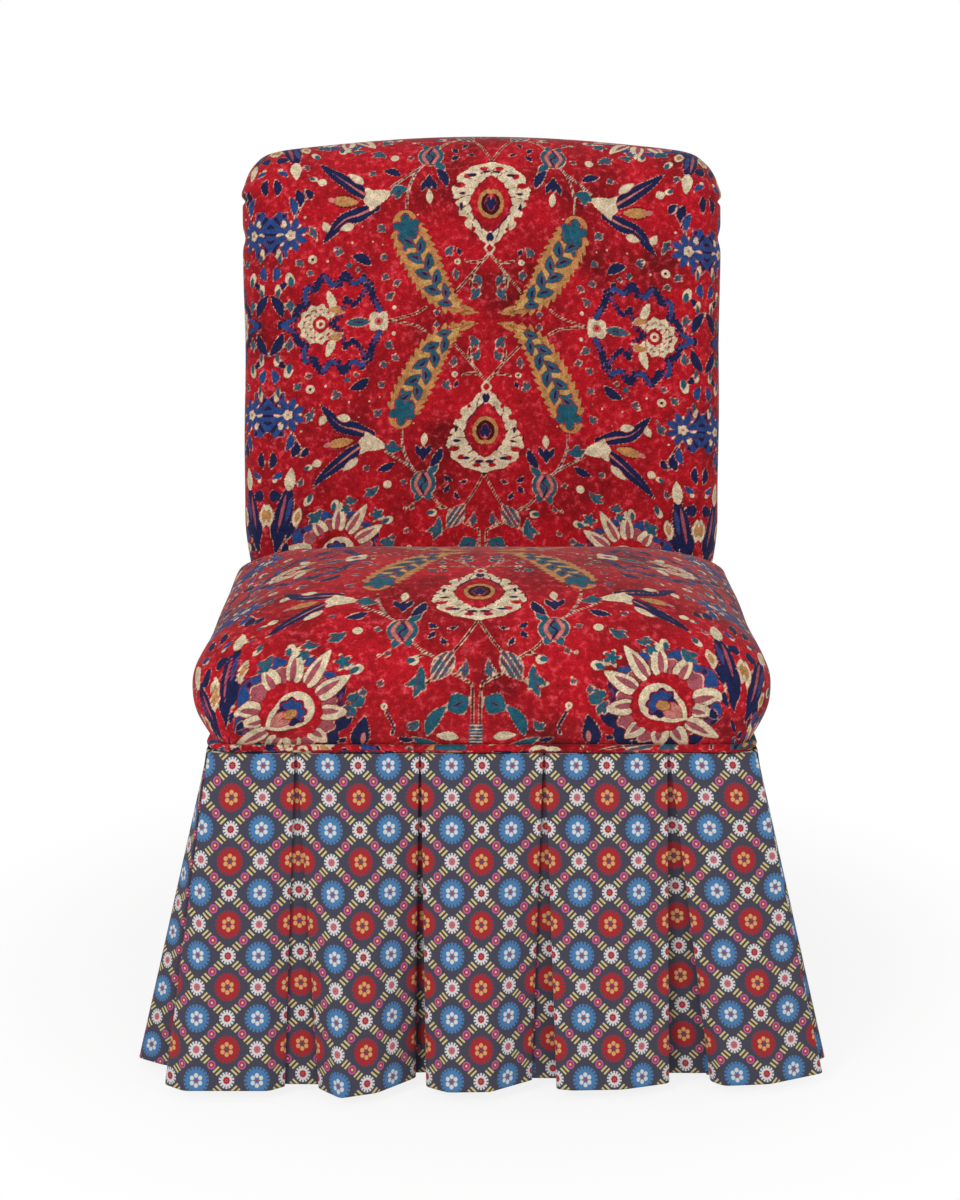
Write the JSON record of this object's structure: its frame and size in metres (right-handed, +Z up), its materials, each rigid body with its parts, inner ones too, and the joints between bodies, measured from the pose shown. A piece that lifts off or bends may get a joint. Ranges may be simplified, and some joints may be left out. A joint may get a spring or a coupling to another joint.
{
  "type": "slipper chair",
  "caption": "Armless upholstered slipper chair with a domed sprung seat, a tall reclined back, a self welt and a flared box-pleated skirt that hides its legs.",
  "frame": {"origin": "on the floor under the middle of the chair's bounding box", "axes": "+Z up, -Y towards the front of the seat, +X to the right of someone who faces the chair"},
  "size_m": [0.704, 0.7161, 0.9088],
  "materials": {
    "beech_frame": "satin",
    "pine_block": "matte",
    "beech_dowel": "matte",
    "zinc_plated_screw": "satin",
    "nickel_plated_glide": "satin",
    "jute_webbing": "matte",
    "spring_steel": "satin",
    "spring_twine": "matte",
    "hessian": "matte",
    "edge_roll": "matte",
    "hair_and_cotton": "matte",
    "cotton_felt": "matte",
    "carpet_velvet": "satin",
    "skirt_cloth": "matte",
    "tacking_card": "matte",
    "black_cambric": "matte"
  },
  "bodies": {
    "root": {"back_cover": "carpet_velvet", "back_crest_rail": "beech_frame", "back_hessian": "hessian", "back_pad": "hair_and_cotton", "back_stay_rail": "beech_frame", "back_webbing_across": "jute_webbing", "back_webbing_upright": "jute_webbing", "corner_block_screws": "zinc_plated_screw", "corner_blocks": "pine_block", "dust_cover": "black_cambric", "frame_dowels": "beech_dowel", "front_leg_left": "beech_frame", "front_leg_right": "beech_frame", "front_rail": "beech_frame", "leg_glides": "nickel_plated_glide", "outside_back_cover": "carpet_velvet", "outside_back_felt": "cotton_felt", "rear_post_left": "beech_frame", "rear_post_right": "beech_frame", "rear_rail": "beech_frame", "seat_cover": "carpet_velvet", "seat_edge_roll": "edge_roll", "seat_pad": "hair_and_cotton", "seat_springs": "spring_steel", "seat_webbing_across": "jute_webbing", "seat_webbing_lengthwise": "jute_webbing", "seat_welt": "carpet_velvet", "side_rail_left": "beech_frame", "side_rail_right": "beech_frame", "skirt_back": "skirt_cloth", "skirt_front": "skirt_cloth", "skirt_left": "skirt_cloth", "skirt_right": "skirt_cloth", "skirt_tack_strip": "tacking_card", "spring_hessian": "hessian", "spring_twine": "spring_twine"}
  },
  "joints": []
}
